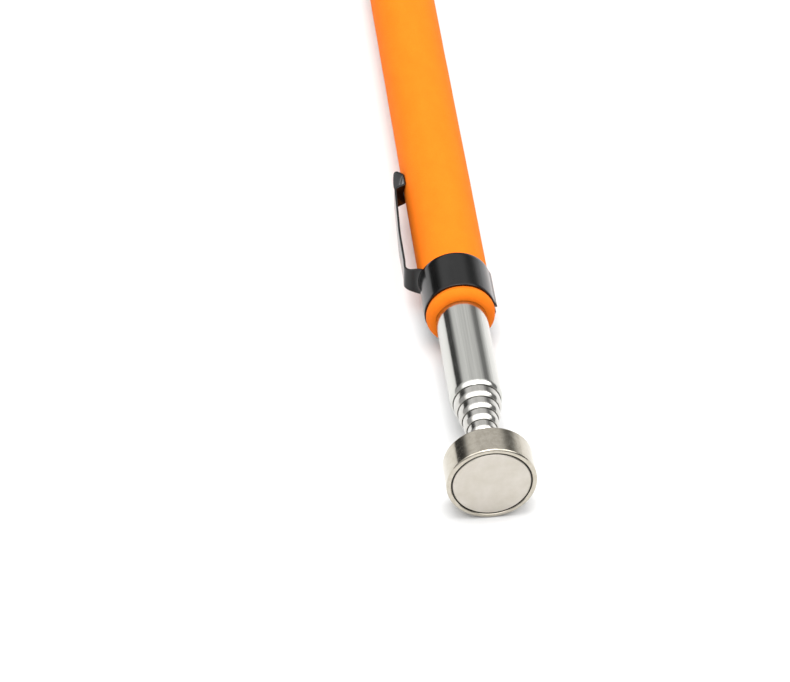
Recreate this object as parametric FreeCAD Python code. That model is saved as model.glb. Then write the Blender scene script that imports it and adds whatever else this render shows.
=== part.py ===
import FreeCAD, Part
import math
import os

# Telescopic magnetic pickup tool, millimetres. The mast lies along +Y: the magnet's working face
# is at y = 0 and the rear cap is at the far end. The pocket clip stands on the -X side.

# Magnet head
CUP_RADIUS = 9.0
CUP_LENGTH = 6.8
CUP_WALL = 0.95
CUP_FLOOR = 1.6
CUP_EDGE_ROUND = 0.4
MAGNET_RADIUS = 7.75
MAGNET_THICKNESS = 4.0
MAGNET_CHAMFER = 0.12
BED_SETBACK = 0.5
RIVET_RADIUS = 1.9
RIVET_HEIGHT = 0.6
RIVET_POCKET_CLEARANCE = 0.1
SPIGOT_RADIUS = 1.3
STEM_LENGTH_IN_TUBE = 9.0
STEM_CHAMFER = 0.4

# Telescopic sections, numbered 1 (fixed, outermost) to 6 (carries the head)
OUTER_TUBE_RADIUS = 5.35
FIRST_STEP = 0.55
LATER_STEP = 0.6
HEAD_TUBE_RADIUS = 2.35
TUBE_WALL = 0.25
HEAD_TUBE_WALL = 0.3
OUTER_MOUTH_Y = 24.1
MOUTH_STEP = 2.8
MOUTH_CLEARANCE = 0.08
MOUTH_LIP = 0.1
SHOULDER_LENGTH = 1.2
NECK_LENGTH = 0.5
NECK_CONE_END = 1.8
OUTER_TUBE_END_Y = 175.0
INNER_TUBE_END_Y = 169.0
TUBE_END_STAGGER = 0.4

# Brass base collars and their bronze friction springs
COLLAR_LENGTH = 10.0
COLLAR_CLEARANCE = 0.05
COLLAR_FRONT_LAND = 1.2
COLLAR_REAR_LAND = 1.6
GROOVE_FLOOR = 0.06
SPRING_END_LIFT = 0.02
SPRING_TUBE_CLEARANCE = 0.02
SPRING_THICKNESS = 0.1
SPRING_END_PLAY = 0.15
SPRING_SPLIT = 1.2

# Foam grip
SLEEVE_RADIUS = 7.2
SLEEVE_FRONT_Y = 50.0
SLEEVE_REAR_Y = 174.0
SLEEVE_FRONT_ROUND = 1.2
SLEEVE_REAR_ROUND = 0.7
BAND_SQUEEZE = 0.25

# Pocket clip, one strip of sheet steel: a band round the grip and a sprung arm
SHEET = 0.45
BAND_FRONT_Y = 52.3
BAND_REAR_Y = 62.6
TAB_LENGTH = 1.35
BAND_GAP = 1.2
UPPER_LIP_FLARE_DEG = 14.0
LOWER_LIP_FLARE_DEG = 4.0
LIP_LENGTH = 1.6
ARM_WIDTH = 5.3
ARM_OUTER_RADIUS = 10.3
RISER_BEND = 1.3
RISER_TAIL = 0.1
HINGE_GAP = 0.1
ARM_BOW_Y = BAND_REAR_Y + 13.4
ARM_BOW_LEAN = 0.7
ARM_BOW_BEND = 60.0
ARM_STEP_Y = BAND_REAR_Y + 28.4
ARM_DIP_Y = BAND_REAR_Y + 29.7
ARM_LIFT_Y = BAND_REAR_Y + 33.1
ARM_TIP_Y = BAND_REAR_Y + 34.6
ARM_TIP_LIFT = 1.45
ARM_TIP_CORNER = 0.9
ARM_STEP_BEND = 0.8
ARM_TIP_BEND = 1.6
ARM_TIP_CLEARANCE = 0.1

# Rear cap
CAP_RADIUS = 6.9
CAP_END_Y = 180.0
CAP_RIM_LENGTH = 2.2
CAP_SPIGOT_LENGTH = 5.0
CAP_SPIGOT_CHAMFER = 0.5
CAP_CROWN_RADIUS = 2.4


def tube_radius(number):
    """Outside radius of a section."""
    if number == 1:
        return OUTER_TUBE_RADIUS
    if number == 6:
        return HEAD_TUBE_RADIUS
    return OUTER_TUBE_RADIUS - FIRST_STEP - (number - 2) * LATER_STEP


def mouth_y(number):
    """Front end of sections 1 to 5: each mouth stands ahead of the one outside it."""
    return OUTER_MOUTH_Y - (number - 1) * MOUTH_STEP


def tube_end_y(number):
    """Rear end of sections 2 to 6."""
    return INNER_TUBE_END_Y - (number - 2) * TUBE_END_STAGGER


def point(radius, y):
    return FreeCAD.Vector(radius, y, 0)


def line(start, end):
    return Part.LineSegment(start, end).toShape()


def arc(start, middle, end):
    return Part.Arc(start, middle, end).toShape()


def turned(edges):
    """Solid of revolution about the mast axis, from the edges of a closed outline."""
    face = Part.Face(Part.Wire(edges))
    return face.revolve(FreeCAD.Vector(0, 0, 0), FreeCAD.Vector(0, 1, 0), 360)


def turned_polygon(points):
    edges = []
    for index, start in enumerate(points):
        edges.append(line(start, points[(index + 1) % len(points)]))
    return turned(edges)


def quarter_round(start, end, corner):
    """Arc that rounds off a square corner between two points equally far from it."""
    centre = start + end - corner
    reach = start.distanceToPoint(centre)
    middle = centre + (corner - centre).normalize() * reach
    return arc(start, middle, end)


def tube_with_mouth(number):
    """Drawn tube whose front end is rolled in to guide the next section."""
    radius = tube_radius(number)
    front = mouth_y(number)
    rear = OUTER_TUBE_END_Y if number == 1 else tube_end_y(number)
    neck = tube_radius(number + 1) + MOUTH_CLEARANCE
    drop = radius - neck - MOUTH_LIP
    bend = (SHOULDER_LENGTH ** 2 + drop ** 2) / (2 * drop)
    half_angle = math.asin(SHOULDER_LENGTH / bend) / 2
    shoulder_start = point(radius, front + SHOULDER_LENGTH)
    shoulder_middle = point(
        radius - bend + bend * math.cos(half_angle),
        front + SHOULDER_LENGTH - bend * math.sin(half_angle),
    )
    shoulder_end = point(neck + MOUTH_LIP, front)
    rest = [
        shoulder_end,
        point(neck, front),
        point(neck, front + NECK_LENGTH),
        point(radius - TUBE_WALL, front + NECK_CONE_END),
        point(radius - TUBE_WALL, rear),
        point(radius, rear),
        shoulder_start,
    ]
    edges = [arc(shoulder_start, shoulder_middle, shoulder_end)]
    for start, end in zip(rest[:-1], rest[1:]):
        edges.append(line(start, end))
    return turned(edges)


def head_tube():
    """Innermost section: a plain tube that butts against the back of the cup."""
    bore = HEAD_TUBE_RADIUS - HEAD_TUBE_WALL
    return turned_polygon([
        point(bore, CUP_LENGTH),
        point(HEAD_TUBE_RADIUS, CUP_LENGTH),
        point(HEAD_TUBE_RADIUS, tube_end_y(6)),
        point(bore, tube_end_y(6)),
    ])


def base_collar(number):
    """Brass ring fixed round a section's rear end, with a groove for its friction spring."""
    inner = tube_radius(number)
    outer = tube_radius(number - 1) - TUBE_WALL - COLLAR_CLEARANCE
    rear = tube_end_y(number)
    front = rear - COLLAR_LENGTH
    groove = inner + GROOVE_FLOOR
    return turned_polygon([
        point(inner, front),
        point(outer, front),
        point(outer, front + COLLAR_FRONT_LAND),
        point(groove, front + COLLAR_FRONT_LAND),
        point(groove, rear - COLLAR_REAR_LAND),
        point(outer, rear - COLLAR_REAR_LAND),
        point(outer, rear),
        point(inner, rear),
    ])


def friction_spring(number):
    """Split barrel of bronze strip that rides in the collar's groove and drags on the tube."""
    bore = tube_radius(number - 1) - TUBE_WALL
    rear = tube_end_y(number) - COLLAR_REAR_LAND - SPRING_END_PLAY
    front = tube_end_y(number) - COLLAR_LENGTH + COLLAR_FRONT_LAND + SPRING_END_PLAY
    middle = (front + rear) / 2
    low = tube_radius(number) + GROOVE_FLOOR + SPRING_END_LIFT
    high = bore - SPRING_TUBE_CLEARANCE - SPRING_THICKNESS
    barrel = turned([
        arc(point(low, front), point(high, middle), point(low, rear)),
        line(point(low, rear), point(low + SPRING_THICKNESS, rear)),
        arc(
            point(low + SPRING_THICKNESS, rear),
            point(high + SPRING_THICKNESS, middle),
            point(low + SPRING_THICKNESS, front),
        ),
        line(point(low + SPRING_THICKNESS, front), point(low, front)),
    ])
    split = Part.makeBox(
        SPRING_SPLIT, rear - front + 2, bore + 1,
        FreeCAD.Vector(-SPRING_SPLIT / 2, front - 1, 0),
    )
    return barrel.cut(split)


def magnet_cup():
    """Plated steel pot that holds the magnet and carries the rim of the working face."""
    bore = CUP_RADIUS - CUP_WALL
    floor = CUP_LENGTH - CUP_FLOOR
    rim = CUP_RADIUS - CUP_EDGE_ROUND
    front_corner = point(CUP_RADIUS, 0)
    rear_corner = point(CUP_RADIUS, CUP_LENGTH)
    return turned([
        line(point(bore, MAGNET_CHAMFER), point(bore + MAGNET_CHAMFER, 0)),
        line(point(bore + MAGNET_CHAMFER, 0), point(rim, 0)),
        quarter_round(point(rim, 0), point(CUP_RADIUS, CUP_EDGE_ROUND), front_corner),
        line(point(CUP_RADIUS, CUP_EDGE_ROUND), point(CUP_RADIUS, CUP_LENGTH - CUP_EDGE_ROUND)),
        quarter_round(
            point(CUP_RADIUS, CUP_LENGTH - CUP_EDGE_ROUND),
            point(rim, CUP_LENGTH),
            rear_corner,
        ),
        line(point(rim, CUP_LENGTH), point(SPIGOT_RADIUS, CUP_LENGTH)),
        line(point(SPIGOT_RADIUS, CUP_LENGTH), point(SPIGOT_RADIUS, floor)),
        line(point(SPIGOT_RADIUS, floor), point(bore, floor)),
        line(point(bore, floor), point(bore, MAGNET_CHAMFER)),
    ])


def magnet_disc():
    return turned_polygon([
        point(0, 0),
        point(MAGNET_RADIUS - MAGNET_CHAMFER, 0),
        point(MAGNET_RADIUS, MAGNET_CHAMFER),
        point(MAGNET_RADIUS, MAGNET_THICKNESS),
        point(0, MAGNET_THICKNESS),
    ])


def magnet_bed():
    """Dark resin that beds the magnet: a thin wall round it and a floor behind it."""
    bore = CUP_RADIUS - CUP_WALL
    pocket = RIVET_RADIUS + RIVET_POCKET_CLEARANCE
    floor = CUP_LENGTH - CUP_FLOOR
    return turned_polygon([
        point(MAGNET_RADIUS, BED_SETBACK),
        point(bore, BED_SETBACK),
        point(bore, floor),
        point(pocket, floor),
        point(pocket, MAGNET_THICKNESS),
        point(MAGNET_RADIUS, MAGNET_THICKNESS),
    ])


def head_stem():
    """Pin pressed into the head tube and riveted over inside the cup."""
    floor = CUP_LENGTH - CUP_FLOOR
    bore = HEAD_TUBE_RADIUS - HEAD_TUBE_WALL
    end = CUP_LENGTH + STEM_LENGTH_IN_TUBE
    return turned_polygon([
        point(0, floor - RIVET_HEIGHT),
        point(RIVET_RADIUS, floor - RIVET_HEIGHT),
        point(RIVET_RADIUS, floor),
        point(SPIGOT_RADIUS, floor),
        point(SPIGOT_RADIUS, CUP_LENGTH),
        point(bore, CUP_LENGTH),
        point(bore, end - STEM_CHAMFER),
        point(bore - STEM_CHAMFER, end),
        point(0, end),
    ])


def grip_sleeve():
    """Foam tube pushed over the outer tube and squeezed a little by the clip's band and tab."""
    bore = OUTER_TUBE_RADIUS
    waist = SLEEVE_RADIUS - BAND_SQUEEZE
    front_round = point(SLEEVE_RADIUS, SLEEVE_FRONT_Y)
    rear_round = point(SLEEVE_RADIUS, SLEEVE_REAR_Y)
    front_face = point(SLEEVE_RADIUS - SLEEVE_FRONT_ROUND, SLEEVE_FRONT_Y)
    front_wall = point(SLEEVE_RADIUS, SLEEVE_FRONT_Y + SLEEVE_FRONT_ROUND)
    rear_face = point(SLEEVE_RADIUS - SLEEVE_REAR_ROUND, SLEEVE_REAR_Y)
    rear_wall = point(SLEEVE_RADIUS, SLEEVE_REAR_Y - SLEEVE_REAR_ROUND)
    steps = [
        front_wall,
        point(SLEEVE_RADIUS, BAND_FRONT_Y),
        point(waist, BAND_FRONT_Y),
        point(waist, BAND_REAR_Y),
        point(SLEEVE_RADIUS, BAND_REAR_Y),
        rear_wall,
    ]
    edges = [
        line(point(bore, SLEEVE_FRONT_Y), front_face),
        quarter_round(front_face, front_wall, front_round),
    ]
    for start, end in zip(steps[:-1], steps[1:]):
        edges.append(line(start, end))
    edges.append(quarter_round(rear_wall, rear_face, rear_round))
    edges.append(line(rear_face, point(bore, SLEEVE_REAR_Y)))
    edges.append(line(point(bore, SLEEVE_REAR_Y), point(bore, SLEEVE_FRONT_Y)))
    return turned(edges).cut(clip_tab())


def rounded_path(points, bends):
    """Wire through the points, with each inner corner rounded to its own bend radius."""
    edges = []
    last = points[0]
    for before, corner, after, bend in zip(points[:-2], points[1:-1], points[2:], bends):
        towards = (before - corner).normalize()
        away = (after - corner).normalize()
        half = towards.getAngle(away) / 2
        reach = bend / math.tan(half)
        start = corner + towards * reach
        end = corner + away * reach
        centre = corner + (towards + away).normalize() * (bend / math.sin(half))
        middle = centre + (corner - centre).normalize() * bend
        edges.append(line(last, start))
        edges.append(arc(start, middle, end))
        last = end
    edges.append(line(last, points[-1]))
    return Part.Wire(edges)


def strip_along(path, direction):
    """Flat strip swept along a path in the X-Y plane; direction is the path's first heading."""
    start = path.OrderedVertexes[0].Point
    across = direction.cross(FreeCAD.Vector(0, 0, 1)).normalize() * (SHEET / 2)
    edge = FreeCAD.Vector(0, 0, ARM_WIDTH / 2)
    corners = [start - across - edge, start + across - edge, start + across + edge, start - across + edge]
    section = Part.makePolygon(corners + corners[:1])
    return path.makePipeShell([section], True, False)


def arm_middle():
    """Distance of the arm's middle surface from the mast axis."""
    return ARM_OUTER_RADIUS - SHEET / 2


def riser_y():
    """Middle of the riser's thickness, at the rear end of the tab."""
    return BAND_REAR_Y + TAB_LENGTH - SHEET / 2


def hinge_y():
    """Where the arm starts to flex, just behind the bend at the top of the riser."""
    return riser_y() + RISER_BEND + RISER_TAIL + HINGE_GAP / 2


def flared_lip(side):
    """Free end of the band, bent slightly away from the grip. side is +1 (upper) or -1 (lower)."""
    inner = SLEEVE_RADIUS - BAND_SQUEEZE
    length = BAND_REAR_Y - BAND_FRONT_Y
    lip = Part.makeBox(SHEET, length, LIP_LENGTH, FreeCAD.Vector(inner, BAND_FRONT_Y, -LIP_LENGTH))
    if side < 0:
        lip.translate(FreeCAD.Vector(0, 0, LIP_LENGTH))
    turn = math.degrees(math.asin((BAND_GAP / 2 + LIP_LENGTH) / inner))
    pivot = FreeCAD.Vector(inner, BAND_FRONT_Y, 0)
    flare = UPPER_LIP_FLARE_DEG if side > 0 else LOWER_LIP_FLARE_DEG
    lip.rotate(pivot, FreeCAD.Vector(0, 1, 0), -side * flare)
    lip.rotate(FreeCAD.Vector(0, 0, 0), FreeCAD.Vector(0, 1, 0), -side * turn)
    return lip


def clip_tab():
    """Part of the strip that runs back from the band along the grip, as wide as the arm."""
    inner = SLEEVE_RADIUS - BAND_SQUEEZE
    base = FreeCAD.Vector(0, BAND_REAR_Y, 0)
    along = FreeCAD.Vector(0, 1, 0)
    shell = Part.makeCylinder(inner + SHEET, TAB_LENGTH, base, along)
    shell = shell.cut(Part.makeCylinder(inner, TAB_LENGTH, base, along))
    window = Part.makeBox(
        inner + 2, TAB_LENGTH, ARM_WIDTH,
        FreeCAD.Vector(-inner - 2, BAND_REAR_Y, -ARM_WIDTH / 2),
    )
    return shell.common(window)


def clip_band():
    """Band wrapped round the grip with an open seam at +X, and the riser that carries the arm."""
    inner = SLEEVE_RADIUS - BAND_SQUEEZE
    length = BAND_REAR_Y - BAND_FRONT_Y
    along = FreeCAD.Vector(0, 1, 0)
    ring = Part.makeCylinder(inner + SHEET, length, FreeCAD.Vector(0, BAND_FRONT_Y, 0), along)
    bore = Part.makeCylinder(inner, length + 2, FreeCAD.Vector(0, BAND_FRONT_Y - 1, 0), along)
    half_gap = BAND_GAP / 2 + LIP_LENGTH
    opening = Part.makeBox(
        inner + 2, length + 2, 2 * half_gap,
        FreeCAD.Vector(0, BAND_FRONT_Y - 1, -half_gap),
    )
    band = ring.cut(opening)
    path = rounded_path([
        FreeCAD.Vector(-inner, riser_y(), 0),
        FreeCAD.Vector(-arm_middle(), riser_y(), 0),
        FreeCAD.Vector(-arm_middle(), hinge_y() - HINGE_GAP / 2, 0),
    ], [RISER_BEND])
    riser = strip_along(path, FreeCAD.Vector(-1, 0, 0))
    whole = band.fuse([clip_tab(), riser]).cut(bore)
    return whole.fuse([flared_lip(1), flared_lip(-1)]).removeSplitter()


def arm_outline(start_y):
    """Thick plate with the arm's outline from the side: straight edges and rounded rear corners."""
    reach = ARM_OUTER_RADIUS + 1
    plate = Part.makeBox(
        reach, ARM_TIP_Y - start_y, ARM_WIDTH,
        FreeCAD.Vector(-reach, start_y, -ARM_WIDTH / 2),
    )
    corners = []
    for edge in plate.Edges:
        if edge.BoundBox.XLength > reach / 2 and edge.BoundBox.YMin > ARM_TIP_Y - 0.01:
            corners.append(edge)
    return plate.makeFillet(ARM_TIP_CORNER, corners)


def clip_arm():
    """Sprung arm that runs back beside the grip, steps in to press on it and turns out at the tip."""
    start_y = hinge_y() + HINGE_GAP / 2
    low = SLEEVE_RADIUS + ARM_TIP_CLEARANCE + SHEET / 2
    path = rounded_path([
        FreeCAD.Vector(-arm_middle(), start_y, 0),
        FreeCAD.Vector(-arm_middle(), ARM_BOW_Y, 0),
        FreeCAD.Vector(-arm_middle() + ARM_BOW_LEAN, ARM_STEP_Y, 0),
        FreeCAD.Vector(-low, ARM_DIP_Y, 0),
        FreeCAD.Vector(-low, ARM_LIFT_Y, 0),
        FreeCAD.Vector(-low - ARM_TIP_LIFT, ARM_TIP_Y, 0),
    ], [ARM_BOW_BEND, ARM_STEP_BEND, ARM_STEP_BEND, ARM_TIP_BEND])
    strip = strip_along(path, FreeCAD.Vector(0, 1, 0))
    return strip.common(arm_outline(start_y)).removeSplitter()


def end_cap():
    """Domed rear plug: a spigot in the outer tube and a crown that covers the foam's end."""
    bore = OUTER_TUBE_RADIUS - TUBE_WALL
    spigot_front = OUTER_TUBE_END_Y - CAP_SPIGOT_LENGTH
    rim_end = SLEEVE_REAR_Y + CAP_RIM_LENGTH
    rise = CAP_END_Y - rim_end
    spread = CAP_RADIUS - CAP_CROWN_RADIUS
    crown_middle = point(CAP_CROWN_RADIUS + spread * 0.72, rim_end + rise * 0.66)
    steps = [
        point(0, CAP_END_Y),
        point(0, spigot_front),
        point(bore - CAP_SPIGOT_CHAMFER, spigot_front),
        point(bore, spigot_front + CAP_SPIGOT_CHAMFER),
        point(bore, OUTER_TUBE_END_Y),
        point(OUTER_TUBE_RADIUS, OUTER_TUBE_END_Y),
        point(OUTER_TUBE_RADIUS, SLEEVE_REAR_Y),
        point(CAP_RADIUS, SLEEVE_REAR_Y),
        point(CAP_RADIUS, rim_end),
    ]
    edges = []
    for start, end in zip(steps[:-1], steps[1:]):
        edges.append(line(start, end))
    crown = point(CAP_CROWN_RADIUS, CAP_END_Y)
    edges.append(arc(steps[-1], crown_middle, crown))
    edges.append(line(crown, steps[0]))
    return turned(edges)


def write(node, shape):
    shape.exportStep("parts/" + node + ".step")


def main():
    os.makedirs("parts", exist_ok=True)
    write("outer_tube", tube_with_mouth(1))
    for number in range(2, 6):
        write("section_tube_%d" % number, tube_with_mouth(number))
    write("head_tube", head_tube())
    for number in range(2, 7):
        write("base_collar_%d" % number, base_collar(number))
        write("friction_spring_%d" % number, friction_spring(number))
    write("magnet_cup", magnet_cup())
    write("magnet_disc", magnet_disc())
    write("magnet_bed", magnet_bed())
    write("head_stem", head_stem())
    write("grip_sleeve", grip_sleeve())
    write("clip_band", clip_band())
    write("clip_arm", clip_arm())
    write("end_cap", end_cap())


main()
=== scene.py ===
"""Looks of the telescopic magnetic pickup tool.

Metres, in the part's own frame: the mast runs along +Y from the magnet's face at y = 0, and the pocket clip
stands on the -X side.
"""
import math

import bpy
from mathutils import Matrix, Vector, noise


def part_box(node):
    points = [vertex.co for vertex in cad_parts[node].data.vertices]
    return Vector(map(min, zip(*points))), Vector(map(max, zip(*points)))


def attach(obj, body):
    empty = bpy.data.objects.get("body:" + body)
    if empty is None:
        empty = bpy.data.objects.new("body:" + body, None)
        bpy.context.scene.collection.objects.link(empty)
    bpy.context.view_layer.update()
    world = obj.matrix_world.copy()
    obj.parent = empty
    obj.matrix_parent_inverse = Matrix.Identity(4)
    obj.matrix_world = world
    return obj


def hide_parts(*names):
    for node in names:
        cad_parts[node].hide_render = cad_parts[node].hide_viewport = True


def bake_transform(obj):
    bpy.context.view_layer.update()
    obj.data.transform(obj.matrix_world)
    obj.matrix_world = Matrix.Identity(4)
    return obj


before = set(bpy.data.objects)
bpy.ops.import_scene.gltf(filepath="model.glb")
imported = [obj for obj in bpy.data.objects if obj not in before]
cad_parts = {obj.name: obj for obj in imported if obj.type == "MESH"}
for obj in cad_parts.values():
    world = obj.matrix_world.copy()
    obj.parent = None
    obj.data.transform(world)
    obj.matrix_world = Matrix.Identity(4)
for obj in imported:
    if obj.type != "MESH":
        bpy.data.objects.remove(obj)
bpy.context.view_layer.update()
MM = 0.001

# ---------------------------------------------------------------- camera, light and floor

CAMERA_FROM_HEAD = {"azimuth": -8.16, "elevation": 43.05, "distance": 0.734}
CAMERA_LOOKS = {"azimuth": -6.13, "elevation": 40.88}
CAMERA_LENS = 170.7
CAMERA_SENSOR = 36.0
FLOOR_HALF_SIZE = 3.0
SOFTBOX_AIM = (0, 0.06, 0)


def direction(azimuth, elevation):
    """Unit vector from the object towards a viewer; azimuth 0 is on the -Y side."""
    a = math.radians(azimuth)
    e = math.radians(elevation)
    return Vector((math.sin(a) * math.cos(e), -math.cos(a) * math.cos(e), math.sin(e)))


def make_camera():
    data = bpy.data.cameras.new("camera")
    data.lens = CAMERA_LENS
    data.sensor_width = CAMERA_SENSOR
    camera = bpy.data.objects.new("camera", data)
    bpy.context.scene.collection.objects.link(camera)
    place = direction(CAMERA_FROM_HEAD["azimuth"], CAMERA_FROM_HEAD["elevation"])
    camera.location = place * CAMERA_FROM_HEAD["distance"]
    looks = -direction(CAMERA_LOOKS["azimuth"], CAMERA_LOOKS["elevation"])
    camera.rotation_mode = "QUATERNION"
    camera.rotation_quaternion = looks.to_track_quat("-Z", "Y")
    bpy.context.scene.camera = camera


def make_floor():
    """White table top. It slopes a little, because the wide cup and the grip's rear both rest on it."""
    cup_low, cup_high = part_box("magnet_cup")
    grip_low, grip_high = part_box("grip_sleeve")
    front_y = cup_high.y
    rear_y = grip_high.y
    slope = (grip_low.z - cup_low.z) / (rear_y - front_y)
    size = FLOOR_HALF_SIZE
    mesh = bpy.data.meshes.new("floor")
    corners = []
    for x, y in ((-size, -size), (size, -size), (size, size), (-size, size)):
        corners.append((x, y, cup_low.z + (y - front_y) * slope))
    mesh.from_pydata(corners, [], [(0, 1, 2, 3)])
    floor = bpy.data.objects.new("floor", mesh)
    bpy.context.scene.collection.objects.link(floor)
    floor.data.materials.append(floor_material())


def softbox(name, place, size, power):
    """White rectangular light, aimed at the front half of the tool."""
    data = bpy.data.lights.new(name, "AREA")
    data.shape = "RECTANGLE"
    data.size = size[0]
    data.size_y = size[1]
    data.energy = power
    light = bpy.data.objects.new(name, data)
    bpy.context.scene.collection.objects.link(light)
    light.location = place
    light.rotation_mode = "QUATERNION"
    light.rotation_quaternion = (Vector(SOFTBOX_AIM) - Vector(place)).to_track_quat("-Z", "Y")


def make_lights():
    softbox("softbox_right", place=(0.42, 0.16, 0.42), size=(0.25, 0.35), power=0.6)
    softbox("softbox_top", place=(-0.02, 0.05, 0.60), size=(0.30, 0.40), power=2.4)


# Grey levels of the room. The walls are pairs of height over the horizon and level.
CANOPY = 1.75
LEFT_HORIZON = 0.42
RIGHT_HORIZON = 0.20
LEFT_WALL = [
    (0.0, 0.10), (0.04, 0.05), (0.27, 0.05), (0.36, 0.22),
    (0.45, 0.72), (0.55, 0.80), (0.63, 0.68), (1.0, 0.68),
]
RIGHT_WALL = [
    (0.0, 0.85), (0.10, 0.78), (0.22, 0.42), (0.30, 0.19),
    (0.42, 0.19), (0.50, 0.36), (0.57, 0.68), (1.0, 0.68),
]
ROOM_STRENGTH = 1.3

# Soft edges in the room, as components of the unit direction: from the first value to the second.
LEFT_TO_RIGHT = (-0.3, 0.3)
REAR_TO_FRONT = (0.62, 0.48)
HORIZON_TO_CANOPY = (0.46, 0.72)


def height_ramp(nodes, links, height, stops):
    """Grey level of the studio room by height over the horizon."""
    ramp = nodes.new("ShaderNodeValToRGB")
    links.new(height, ramp.inputs[0])
    elements = ramp.color_ramp.elements
    while len(elements) > 1:
        elements.remove(elements[-1])
    for index, (place, value) in enumerate(stops):
        stop = elements[0] if index == 0 else elements.new(place)
        stop.position = place
        stop.color = (value, value, value, 1)
    return ramp.outputs["Color"]


def edge_ramp(nodes, links, value, edge):
    """0 to 1 with soft ends as the value goes from the edge's first number to its second."""
    low, high = edge
    ramp = nodes.new("ShaderNodeMapRange")
    ramp.interpolation_type = "SMOOTHSTEP"
    links.new(value, ramp.inputs["Value"])
    ramp.inputs["From Min"].default_value = min(low, high)
    ramp.inputs["From Max"].default_value = max(low, high)
    ramp.inputs["To Min"].default_value = 0.0 if low < high else 1.0
    ramp.inputs["To Max"].default_value = 1.0 if low < high else 0.0
    return ramp.outputs["Result"]


def blended(nodes, links, share, first, second):
    """Mix of two colours; a number stands for a grey."""
    mix = nodes.new("ShaderNodeMix")
    mix.data_type = "RGBA"
    links.new(share, mix.inputs[0])
    for socket, value in ((mix.inputs[6], first), (mix.inputs[7], second)):
        if isinstance(value, float):
            socket.default_value = (value, value, value, 1)
        else:
            links.new(value, socket)
    return mix.outputs[2]


def make_world():
    """Studio room with darker and lighter parts, so that polished metal has contrast to mirror.

    The rear wall's left part is dark down to the table, and its right part has a light strip under a softer
    dark one. At the sides and in front, a canopy of white fabric hangs down to a dim strip above the table.
    The camera itself sees plain white beyond the floor.
    """
    world = bpy.data.worlds.new("studio")
    bpy.context.scene.world = world
    world.use_nodes = True
    nodes = world.node_tree.nodes
    links = world.node_tree.links
    nodes.clear()
    output = nodes.new("ShaderNodeOutputWorld")
    seen = nodes.new("ShaderNodeBackground")
    seen.inputs["Color"].default_value = (1, 1, 1, 1)
    room = nodes.new("ShaderNodeBackground")
    pick = nodes.new("ShaderNodeMixShader")
    ray = nodes.new("ShaderNodeLightPath")
    links.new(ray.outputs["Is Camera Ray"], pick.inputs[0])
    links.new(room.outputs[0], pick.inputs[1])
    links.new(seen.outputs[0], pick.inputs[2])
    links.new(pick.outputs[0], output.inputs["Surface"])
    where = nodes.new("ShaderNodeTexCoord")
    split = nodes.new("ShaderNodeSeparateXYZ")
    links.new(where.outputs["Generated"], split.inputs[0])
    side = edge_ramp(nodes, links, split.outputs["X"], LEFT_TO_RIGHT)
    left_wall = height_ramp(nodes, links, split.outputs["Z"], LEFT_WALL)
    right_wall = height_ramp(nodes, links, split.outputs["Z"], RIGHT_WALL)
    rear = blended(nodes, links, side, left_wall, right_wall)
    front = blended(nodes, links, side, LEFT_HORIZON, RIGHT_HORIZON)
    in_front = edge_ramp(nodes, links, split.outputs["Y"], REAR_TO_FRONT)
    overhead = edge_ramp(nodes, links, split.outputs["Z"], HORIZON_TO_CANOPY)
    under_canopy = nodes.new("ShaderNodeMath")
    under_canopy.operation = "MULTIPLY"
    links.new(in_front, under_canopy.inputs[0])
    links.new(overhead, under_canopy.inputs[1])
    walls = blended(nodes, links, in_front, rear, front)
    links.new(blended(nodes, links, under_canopy.outputs[0], walls, CANOPY), room.inputs["Color"])
    room.inputs["Strength"].default_value = ROOM_STRENGTH


# ---------------------------------------------------------------- material building blocks


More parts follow.
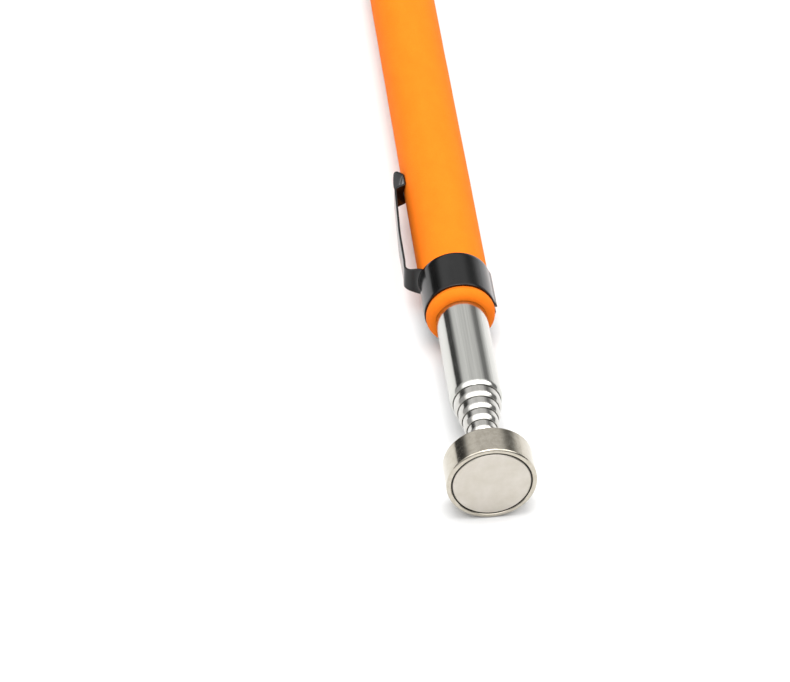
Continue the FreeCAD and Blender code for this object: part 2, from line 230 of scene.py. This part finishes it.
class Recipe:
    """A material's node tree, with short calls for the nodes that the recipes below share."""

    def __init__(self, name):
        self.material = bpy.data.materials.new(name)
        self.material.use_nodes = True
        self.nodes = self.material.node_tree.nodes
        self.links = self.material.node_tree.links
        self.nodes.clear()
        self.output = self.nodes.new("ShaderNodeOutputMaterial")
        self.shader = self.nodes.new("ShaderNodeBsdfPrincipled")
        self.links.new(self.shader.outputs[0], self.output.inputs["Surface"])
        self.place = self.nodes.new("ShaderNodeTexCoord").outputs["Object"]

    def set(self, **values):
        """Fixed values on the shader's own sockets; underscores stand for spaces."""
        for name, value in values.items():
            self.shader.inputs[name.replace("_", " ")].default_value = value

    def feed(self, socket, value):
        if isinstance(value, (float, tuple)):
            socket.default_value = value
        else:
            self.links.new(value, socket)

    def stretched(self, x, y, z, source=None):
        """Coordinates scaled per axis, in cycles per metre."""
        node = self.nodes.new("ShaderNodeMapping")
        self.links.new(source or self.place, node.inputs["Vector"])
        node.inputs["Scale"].default_value = (x, y, z)
        return node.outputs[0]

    def noise(self, vector, detail=2.0, roughness=0.5, distortion=0.0):
        node = self.nodes.new("ShaderNodeTexNoise")
        self.links.new(vector, node.inputs["Vector"])
        node.inputs["Scale"].default_value = 1.0
        node.inputs["Detail"].default_value = detail
        node.inputs["Roughness"].default_value = roughness
        node.inputs["Distortion"].default_value = distortion
        return node.outputs["Fac"]

    def cells(self, vector):
        """Distance to the nearest of many scattered points, for pits and foam cells."""
        node = self.nodes.new("ShaderNodeTexVoronoi")
        self.links.new(vector, node.inputs["Vector"])
        node.inputs["Scale"].default_value = 1.0
        return node.outputs["Distance"]

    def spread(self, value, low, high, to_low=0.0, to_high=1.0):
        """Stretches the range from low to high over the range from to_low to to_high."""
        node = self.nodes.new("ShaderNodeMapRange")
        self.links.new(value, node.inputs["Value"])
        node.inputs["From Min"].default_value = low
        node.inputs["From Max"].default_value = high
        node.inputs["To Min"].default_value = to_low
        node.inputs["To Max"].default_value = to_high
        return node.outputs["Result"]

    def maths(self, operation, first, second):
        node = self.nodes.new("ShaderNodeMath")
        node.operation = operation
        self.feed(node.inputs[0], first)
        self.feed(node.inputs[1], second)
        return node.outputs[0]

    def mix(self, share, first, second):
        node = self.nodes.new("ShaderNodeMix")
        node.data_type = "RGBA"
        self.feed(node.inputs[0], share)
        for socket, value in ((node.inputs[6], first), (node.inputs[7], second)):
            self.feed(socket, (*value, 1) if isinstance(value, tuple) else value)
        return node.outputs[2]

    def radius(self):
        """Distance from the mast's axis."""
        node = self.nodes.new("ShaderNodeVectorMath")
        node.operation = "MULTIPLY"
        self.links.new(self.place, node.inputs[0])
        node.inputs[1].default_value = (1, 0, 1)
        length = self.nodes.new("ShaderNodeVectorMath")
        length.operation = "LENGTH"
        self.links.new(node.outputs[0], length.inputs[0])
        return length.outputs["Value"]

    def rings(self):
        """Coordinates that change only with distance from the axis and along it, for turned surfaces."""
        node = self.nodes.new("ShaderNodeCombineXYZ")
        split = self.nodes.new("ShaderNodeSeparateXYZ")
        self.links.new(self.place, split.inputs[0])
        self.links.new(self.radius(), node.inputs[0])
        self.links.new(split.outputs["Y"], node.inputs[1])
        return node.outputs[0]

    def bump(self, height, depth, strength, below=None):
        """Surface relief; depth is in metres for a height of 1."""
        node = self.nodes.new("ShaderNodeBump")
        self.links.new(height, node.inputs["Height"])
        node.inputs["Strength"].default_value = strength
        node.inputs["Distance"].default_value = depth
        if below is not None:
            self.links.new(below, node.inputs["Normal"])
        self.links.new(node.outputs[0], self.shader.inputs["Normal"])
        return node.outputs[0]

    def colour(self, value):
        self.feed(self.shader.inputs["Base Color"], value)

    def rough(self, value):
        self.feed(self.shader.inputs["Roughness"], value)


# ---------------------------------------------------------------- materials


def floor_material():
    """Matt white table top."""
    r = Recipe("table_white")
    grain = r.noise(r.stretched(900, 900, 900), detail=3)
    darker = (0.675, 0.675, 0.675)
    lighter = (0.695, 0.695, 0.695)
    r.colour(r.mix(grain, darker, lighter))
    r.rough(r.spread(grain, 0.3, 0.7, 0.5, 0.6))
    r.set(Specular_IOR_Level=0.3)
    return r.material


DULL_STEEL = 0.88


def drawn_steel(name, tone):
    """Polished stainless tube with the fine lengthwise lines of drawing and a few handling marks."""
    r = Recipe(name)
    lines = r.noise(r.stretched(2600, 22, 2600), detail=4, roughness=0.65)
    hair = r.noise(r.stretched(15000, 160, 15000), detail=2)
    cloud = r.noise(r.stretched(260, 120, 260), detail=3)
    dull = tuple(channel * DULL_STEEL for channel in tone)
    r.colour(r.mix(r.spread(lines, 0.35, 0.65), dull, tone))
    r.rough(r.maths("ADD", r.spread(lines, 0.3, 0.7, 0.10, 0.17), r.spread(cloud, 0.4, 0.8, 0.0, 0.05)))
    r.set(Metallic=1.0)
    relief = r.maths("ADD", lines, r.maths("MULTIPLY", hair, 0.15))
    r.bump(relief, 0.000012, 0.5)
    return r.material


def nickel_plate():
    """Warm nickel plating over a turned cup, slightly pitted."""
    r = Recipe("nickel_plate")
    turned = r.noise(r.stretched(9000, 9000, 1, r.rings()), detail=3)
    blotch = r.noise(r.stretched(900, 900, 900), detail=5, roughness=0.65)
    pits = r.cells(r.stretched(2600, 2600, 2600))
    darker = (0.43, 0.395, 0.33)
    lighter = (0.53, 0.495, 0.425)
    r.colour(r.mix(r.spread(blotch, 0.35, 0.7), darker, lighter))
    r.rough(r.spread(blotch, 0.3, 0.75, 0.09, 0.19))
    r.set(Metallic=1.0)
    under = r.bump(turned, 0.000002, 0.5)
    r.bump(r.maths("ADD", r.spread(pits, 0.0, 0.25), blotch), 0.000004, 0.35, under)
    return r.material


def magnet_plate():
    """Satin nickel on the ground face of the magnet, with faint scuffs from use."""
    r = Recipe("magnet_plate")
    grain = r.noise(r.stretched(7000, 7000, 7000), detail=3)
    cloud = r.noise(r.stretched(320, 320, 320), detail=4, roughness=0.6)
    scuff = r.noise(r.stretched(250, 1000, 6500), detail=4, distortion=0.6)
    darker = (0.50, 0.465, 0.405)
    lighter = (0.56, 0.525, 0.475)
    r.colour(r.mix(r.spread(cloud, 0.35, 0.7), darker, lighter))
    r.rough(r.maths("ADD", r.spread(grain, 0.3, 0.7, 0.34, 0.44), r.spread(scuff, 0.55, 0.75, 0.0, 0.08)))
    r.set(Metallic=0.9)
    r.bump(grain, 0.000003, 0.5)
    return r.material


def orange_foam():
    """Closed-cell foam: an even orange with tiny open cells and a soft, dry surface; the cells' pits are
    painted darker as shade.
    """
    r = Recipe("orange_foam")
    cells = r.cells(r.stretched(5200, 5200, 5200))
    fine = r.noise(r.stretched(9000, 9000, 9000), detail=3)
    cloud = r.noise(r.stretched(300, 160, 300), detail=3)
    darker = (0.74, 0.154, 0.004)
    lighter = (0.76, 0.166, 0.005)
    # Painted shade: a darker orange in the pits of the foam cells, standing in for the shade that falls into
    # them.
    pit_shade = (0.68, 0.122, 0.003)
    body = r.mix(r.spread(cloud, 0.3, 0.7), darker, lighter)
    r.colour(r.mix(r.spread(cells, 0.0, 0.45), pit_shade, body))
    r.rough(r.spread(fine, 0.3, 0.7, 0.72, 0.9))
    r.set(Specular_IOR_Level=0.15)
    under = r.bump(cells, 0.00003, 0.55)
    r.bump(fine, 0.00002, 0.5, under)
    return r.material


def black_oxide():
    """Black finish on spring steel: satin, slightly uneven, greyer where it rubs."""
    r = Recipe("black_oxide")
    peel = r.noise(r.stretched(2500, 2500, 2500), detail=3)
    rub = r.noise(r.stretched(500, 180, 500), detail=5, roughness=0.7)
    black = (0.0025, 0.0025, 0.0025)
    rubbed = (0.006, 0.006, 0.006)
    r.colour(r.mix(r.spread(rub, 0.5, 0.8), black, rubbed))
    r.rough(r.maths("ADD", r.spread(peel, 0.3, 0.7, 0.14, 0.17), r.spread(rub, 0.45, 0.75, 0.0, 0.05)))
    r.set(Specular_IOR_Level=0.4)
    r.bump(peel, 0.0000015, 0.5)
    return r.material


def black_plastic():
    """Moulded cap with a fine spark-eroded grain."""
    r = Recipe("black_plastic")
    grain = r.noise(r.stretched(5200, 5200, 5200), detail=4, roughness=0.6)
    cloud = r.noise(r.stretched(400, 400, 400), detail=2)
    darker = (0.007, 0.007, 0.0075)
    lighter = (0.013, 0.013, 0.014)
    r.colour(r.mix(cloud, darker, lighter))
    r.rough(r.spread(grain, 0.3, 0.7, 0.42, 0.6))
    r.bump(grain, 0.00002, 0.5)
    return r.material


def dark_resin():
    """Lumpy resin that beds the magnet in its cup."""
    r = Recipe("dark_resin")
    lumps = r.noise(r.stretched(1800, 1800, 1800), detail=3)
    darker = (0.006, 0.005, 0.005)
    lighter = (0.02, 0.016, 0.013)
    r.colour(r.mix(lumps, darker, lighter))
    r.rough(r.spread(lumps, 0.3, 0.7, 0.35, 0.6))
    r.bump(lumps, 0.00002, 0.5)
    return r.material


TURNED_ROUGHNESS_RANGE = 0.12


def turned_metal(name, dull, bright, roughness):
    """Small turned parts that sit inside the mast."""
    r = Recipe(name)
    turned = r.noise(r.stretched(12000, 12000, 1, r.rings()), detail=3)
    cloud = r.noise(r.stretched(900, 900, 900), detail=3)
    r.colour(r.mix(cloud, dull, bright))
    r.rough(r.spread(turned, 0.3, 0.7, roughness, roughness + TURNED_ROUGHNESS_RANGE))
    r.set(Metallic=1.0)
    r.bump(turned, 0.000003, 0.6)
    return r.material


# ---------------------------------------------------------------- meshes


def mesh_object(name, points, faces, material):
    mesh = bpy.data.meshes.new(name)
    mesh.from_pydata(points, [], faces)
    mesh.update()
    made = bpy.data.objects.new(name, mesh)
    bpy.context.scene.collection.objects.link(made)
    made.data.materials.append(material)
    for polygon in mesh.polygons:
        polygon.use_smooth = True
    return made


def smooth_step(value):
    value = min(1.0, max(0.0, value))
    return value * value * (3 - 2 * value)


HAIR = 0.02 * MM
SHEET = 0.45 * MM
BAND_LENGTH = 10.3 * MM
SLEEVE_SEGMENTS = 160
SLEEVE_END_ROUND = 1.45 * MM
SLEEVE_FRONT_BULGE = 0.5 * MM
SLEEVE_REAR_ROUND = 0.8 * MM
SLEEVE_LIP = 0.05 * MM
SLEEVE_LIP_DEPTH = 0.08 * MM
SLEEVE_BORE_RING = 0.6 * MM
SLEEVE_RING_STEP = 0.6 * MM
SLEEVE_FINEST_STEP = 0.12 * MM
SLEEVE_STEP_AT_BAND = 0.05 * MM
SLEEVE_FRONT_STEPS = 16
SLEEVE_REAR_STEPS = 8
SLEEVE_UNEVEN = 0.035 * MM
UNEVEN_AROUND = 2.2
UNEVEN_ALONG = 90

# The foam's surface beside the band: it swells a little, and dips close to the band's edge.
SWELL = 0.04 * MM
SWELL_REACH = 0.8 * MM
PINCH = 0.42 * MM
PINCH_REACH = 0.5 * MM


def sleeve_outline(front, rear, outer, bore, band_front, band_rear, band_radius):
    """Radius and y of the foam's section, from the bore's front edge round to the bore's rear edge.

    The front bulges in a quarter of an ellipse. The foam is squeezed under the band and stands up slightly
    on both sides of it. The rings lie closer together near the band's edges.
    """
    lip = bore + SLEEVE_LIP
    crown = front - SLEEVE_FRONT_BULGE
    depth = SLEEVE_END_ROUND + SLEEVE_FRONT_BULGE
    outline = [
        (bore, front + SLEEVE_BORE_RING),
        (bore, crown + SLEEVE_LIP_DEPTH),
        (lip, crown),
        (lip + SLEEVE_LIP, crown),
    ]
    for step in range(1, SLEEVE_FRONT_STEPS + 1):
        angle = math.pi / 2 * step / SLEEVE_FRONT_STEPS
        radius = lip + (outer - lip) * math.sin(angle)
        outline.append((radius, crown + depth * (1 - math.cos(angle))))
    y = front + SLEEVE_END_ROUND
    while y < rear - SLEEVE_REAR_ROUND:
        ahead = band_front - y
        behind = y - band_rear
        outside = max(ahead, behind)
        if outside >= 0:
            swell = SWELL * math.exp(-outside / SWELL_REACH)
            pinch = PINCH * math.exp(-outside / PINCH_REACH)
            radius = outer + swell - pinch
        else:
            radius = band_radius
        outline.append((radius, y))
        near = min(abs(ahead), abs(behind))
        y += max(SLEEVE_FINEST_STEP, min(SLEEVE_RING_STEP, near * 0.5 + SLEEVE_STEP_AT_BAND))
    for step in range(SLEEVE_REAR_STEPS + 1):
        angle = math.pi / 2 * step / SLEEVE_REAR_STEPS
        radius = outer - SLEEVE_REAR_ROUND * (1 - math.cos(angle))
        outline.append((radius, rear - SLEEVE_REAR_ROUND * (1 - math.sin(angle))))
    outline.append((bore + (outer - SLEEVE_REAR_ROUND - bore) * 0.5, rear))
    outline.append((bore, rear))
    return outline


def lathe_mesh(name, outline, segments, material, uneven):
    """Closed ring turned about the mast's axis; uneven is how far the surface may wander."""
    points = []
    for radius, y in outline:
        for turn in range(segments):
            angle = 2 * math.pi * turn / segments
            x = math.cos(angle)
            z = math.sin(angle)
            place = Vector((x * UNEVEN_AROUND, y * UNEVEN_ALONG, z * UNEVEN_AROUND))
            wander = uneven * noise.noise(place)
            points.append(((radius + wander) * x, y, (radius + wander) * z))
    faces = []
    rows = len(outline)
    for row in range(rows):
        after = (row + 1) % rows
        for turn in range(segments):
            beside = (turn + 1) % segments
            faces.append((
                row * segments + turn,
                row * segments + beside,
                after * segments + beside,
                after * segments + turn,
            ))
    return mesh_object(name, points, faces, material)


def make_sleeve(material):
    """The foam grip: a hair tight on the tube, so that no gap shows, and a hair clear of the band."""
    low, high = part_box("grip_sleeve")
    _, tube_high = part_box("outer_tube")
    band_low, band_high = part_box("clip_band")
    outer = high.z
    bore = tube_high.z - HAIR
    outline = sleeve_outline(
        low.y, high.y, outer, bore,
        band_low.y, band_low.y + BAND_LENGTH, band_high.z - SHEET - HAIR,
    )
    sleeve = lathe_mesh("grip_foam", outline, SLEEVE_SEGMENTS, material, SLEEVE_UNEVEN)
    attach(sleeve, "handle")
    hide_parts("grip_sleeve")


ARM_HALF_WIDTH = 2.65 * MM
BAND_HALF_GAP = 0.6 * MM
LIP_REACH = 1.6 * MM
UPPER_LIP_LIFT = 0.40 * MM
LOWER_LIP_LIFT = 0.12 * MM
ARM_COLUMNS = 14
BAND_ROWS = 14
BAND_SIDE_COLUMNS = 56
STRIP_SPACING = 0.6 * MM
LAST_RUN_SPACING = 0.3
LAST_RUN_POINTS = 4
ARC_STEPS = 8
CLIP_EDGE = 0.05 * MM
CLIP_EDGE_ANGLE = 50

# The strip behind the band: the tab, the riser, and the arm with its bends.
TAB_LENGTH = 1.35 * MM
TAB_BEND = 1.05 * MM
RISER_BEND = 1.3 * MM
ARM_BOW_AT = 13.4 * MM
ARM_BOW_BEND = 60 * MM
ARM_BOW_LEAN = 0.7 * MM
STEP_TO_TIP = 6.2 * MM
LAND_TO_TIP = 4.9 * MM
TURN_TO_TIP = 1.5 * MM
TIP_TURN_OUT = 1.45 * MM
STEP_BEND = 0.8 * MM
TIP_BEND = 1.6 * MM
TIP_CORNER = 0.9 * MM
LAND_GAP = 0.1 * MM

# How the strip widens and curves where it leaves the band. A widening fades outwards over its reach, and
# towards the rear by the share given.
ROOT_FILLET = 0.8 * MM
FILLET_REACH = 2.2 * MM
FILLET_REARWARD = 0.8
LOWER_GUSSET = 1.9 * MM
GUSSET_REACH = 3.4 * MM
GUSSET_REARWARD = 0.4
CURVE_REACH = 1.2 * MM
ARM_CROWN = 0.12 * MM
CROWN_AFTER = 2.5 * MM
CROWN_REACH = 2 * MM


def bend_points(corner, towards, away, radius, steps):
    """Points on the arc that rounds a corner between two unit directions, in a plane."""
    half = towards.angle(away) / 2
    centre = corner + (towards + away).normalized() * (radius / math.sin(half))
    start = corner + towards * (radius / math.tan(half))
    end = corner + away * (radius / math.tan(half))
    points = []
    for step in range(steps + 1):
        share = step / steps
        guess = start.lerp(end, share) - centre
        points.append(centre + guess.normalized() * radius)
    return points


def bent_line(corners, bends, spacing):
    """Points along a bent line with evenly spaced straights and rounded corners; the last run is finer."""
    line = [corners[0]]
    last = corners[0]
    for before, corner, after, bend in zip(corners[:-2], corners[1:-1], corners[2:], bends):
        towards = (before - corner).normalized()
        away = (after - corner).normalized()
        arc = bend_points(corner, towards, away, bend, ARC_STEPS)
        count = max(1, int((arc[0] - last).length / spacing))
        for step in range(1, count):
            line.append(last.lerp(arc[0], step / count))
        line.extend(arc)
        last = arc[-1]
    count = max(LAST_RUN_POINTS, int((corners[-1] - last).length / (LAST_RUN_SPACING * spacing)))
    for step in range(1, count + 1):
        line.append(last.lerp(corners[-1], step / count))
    return line


def band_columns(middle, tab_angles):
    """Angles round the band from the seam's upper lip to its lower lip, and the tab's first column."""
    gap = BAND_HALF_GAP / middle
    sides = BAND_SIDE_COLUMNS
    columns = [gap + (tab_angles[0] - gap) * step / sides for step in range(sides)]
    first_tab = len(columns)
    columns.extend(tab_angles)
    rest = 2 * math.pi - gap - tab_angles[-1]
    columns.extend(tab_angles[-1] + rest * step / sides for step in range(1, sides + 1))
    return columns, first_tab


def band_grid(middle, front, rear, columns):
    """Middle surface of the band, row by row; its free ends lift slightly off the foam."""
    points = []
    for row in range(BAND_ROWS + 1):
        y = front + (rear - front) * row / BAND_ROWS
        for angle in columns:
            from_upper = (angle - columns[0]) * middle
            from_lower = (columns[-1] - angle) * middle
            lift = UPPER_LIP_LIFT * smooth_step(1 - from_upper / LIP_REACH)
            lift += LOWER_LIP_LIFT * smooth_step(1 - from_lower / LIP_REACH)
            radius = middle + lift
            points.append((radius * math.cos(angle), y, radius * math.sin(angle)))
    return points


def strip_rows(path, middle, rear):
    """Rows of points across the strip from the band's rear edge to the tip of the arm.

    The tab starts with the band's curve, the riser flattens out, and the arm has a slight crown. The strip is
    wider where it leaves the band: a small fillet above, and a deeper gusset below.
    """
    tip = path[-1]
    rows = []
    for point in path[1:]:
        to_tip = (tip - point).length
        half = ARM_HALF_WIDTH
        if to_tip < TIP_CORNER:
            half += math.sqrt(TIP_CORNER ** 2 - (TIP_CORNER - to_tip) ** 2) - TIP_CORNER
        rise = -point.x - middle
        behind = point.y - rear
        fillet = max(0.0, 1 - (rise + FILLET_REARWARD * behind) / FILLET_REACH)
        gusset = max(0.0, 1 - (rise + GUSSET_REARWARD * behind) / GUSSET_REACH)
        upper = half + ROOT_FILLET * fillet ** 2
        lower = half + LOWER_GUSSET * gusset ** 1.5
        curved = 1 - smooth_step(rise / CURVE_REACH)
        crown = ARM_CROWN * smooth_step((behind - CROWN_AFTER) / CROWN_REACH)
        row = []
        for column in range(ARM_COLUMNS + 1):
            share = 1 - 2 * column / ARM_COLUMNS
            z = upper - (upper + lower) * column / ARM_COLUMNS
            x = point.x + curved * (middle - math.sqrt(middle ** 2 - z ** 2)) + crown * share ** 2
            row.append((x, point.y, z))
        rows.append(row)
    return rows


def make_clip(material):
    """The whole clip as one bent sheet: the band, the tab and riser that turn outwards, and the arm."""
    band_low, band_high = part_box("clip_band")
    _, arm_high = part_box("clip_arm")
    _, grip_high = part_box("grip_sleeve")
    middle = band_high.z - SHEET / 2
    front = band_low.y
    rear = front + BAND_LENGTH
    arm_x = band_low.x + SHEET / 2
    riser_y = rear + TAB_LENGTH - SHEET / 2
    low_x = -(grip_high.z + LAND_GAP + SHEET / 2)
    tip_y = arm_high.y
    path = bent_line(
        [
            Vector((-middle, rear)),
            Vector((-middle, riser_y)),
            Vector((arm_x, riser_y)),
            Vector((arm_x, rear + ARM_BOW_AT)),
            Vector((arm_x + ARM_BOW_LEAN, tip_y - STEP_TO_TIP)),
            Vector((low_x, tip_y - LAND_TO_TIP)),
            Vector((low_x, tip_y - TURN_TO_TIP)),
            Vector((low_x - TIP_TURN_OUT, tip_y)),
        ],
        [TAB_BEND, RISER_BEND, ARM_BOW_BEND, STEP_BEND, STEP_BEND, TIP_BEND],
        STRIP_SPACING,
    )
    tab_angles = []
    for column in range(ARM_COLUMNS + 1):
        z = ARM_HALF_WIDTH + ROOT_FILLET
        z -= (2 * ARM_HALF_WIDTH + ROOT_FILLET + LOWER_GUSSET) * column / ARM_COLUMNS
        tab_angles.append(math.pi - math.asin(z / middle))
    columns, first_tab = band_columns(middle, tab_angles)
    points = band_grid(middle, front, rear, columns)
    wide = len(columns)
    faces = []
    for row in range(BAND_ROWS):
        for column in range(wide - 1):
            base = row * wide + column
            faces.append((base, base + wide, base + wide + 1, base + 1))
    previous = [BAND_ROWS * wide + first_tab + column for column in range(ARM_COLUMNS + 1)]
    for row in strip_rows(path, middle, rear):
        start = len(points)
        points.extend(row)
        current = list(range(start, start + len(row)))
        for column in range(ARM_COLUMNS):
            faces.append((previous[column], current[column], current[column + 1], previous[column + 1]))
        previous = current
    clip = mesh_object("pocket_clip", points, faces, material)
    thick = clip.modifiers.new("thickness", "SOLIDIFY")
    thick.thickness = SHEET
    thick.offset = 0.0
    thick.use_even_offset = False
    edge = clip.modifiers.new("edge", "BEVEL")
    edge.width = CLIP_EDGE
    edge.segments = 2
    edge.limit_method = "ANGLE"
    edge.angle_limit = math.radians(CLIP_EDGE_ANGLE)
    apply_modifiers(clip)
    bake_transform(clip)
    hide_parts("clip_band", "clip_arm")


def apply_modifiers(piece):
    """Puts the modifiers' result into the piece's own mesh."""
    graph = bpy.context.evaluated_depsgraph_get()
    made = bpy.data.meshes.new_from_object(piece.evaluated_get(graph))
    piece.modifiers.clear()
    old = piece.data
    piece.data = made
    bpy.data.meshes.remove(old)
    for polygon in piece.data.polygons:
        polygon.use_smooth = True


def paint(node, material):
    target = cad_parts[node]
    target.data.materials.clear()
    target.data.materials.append(material)


# ---------------------------------------------------------------- scene

make_camera()
make_floor()
make_lights()
make_world()

steel = drawn_steel("drawn_steel", (0.56, 0.56, 0.53))
inner_steel = drawn_steel("drawn_steel_inner", (0.56, 0.55, 0.52))
brass = turned_metal("brass", (0.60, 0.42, 0.17), (0.74, 0.56, 0.27), 0.25)
bronze = turned_metal("spring_bronze", (0.55, 0.32, 0.17), (0.68, 0.43, 0.25), 0.28)
pin_steel = turned_metal("pin_steel", (0.42, 0.42, 0.43), (0.56, 0.56, 0.57), 0.3)

paint("outer_tube", steel)
paint("head_tube", inner_steel)
for number in range(2, 6):
    paint("section_tube_%d" % number, inner_steel)
for number in range(2, 7):
    paint("base_collar_%d" % number, brass)
    paint("friction_spring_%d" % number, bronze)
paint("magnet_cup", nickel_plate())
paint("magnet_disc", magnet_plate())
paint("magnet_bed", dark_resin())
paint("head_stem", pin_steel)
paint("end_cap", black_plastic())
make_sleeve(orange_foam())
make_clip(black_oxide())

bpy.context.scene.view_settings.view_transform = "Standard"
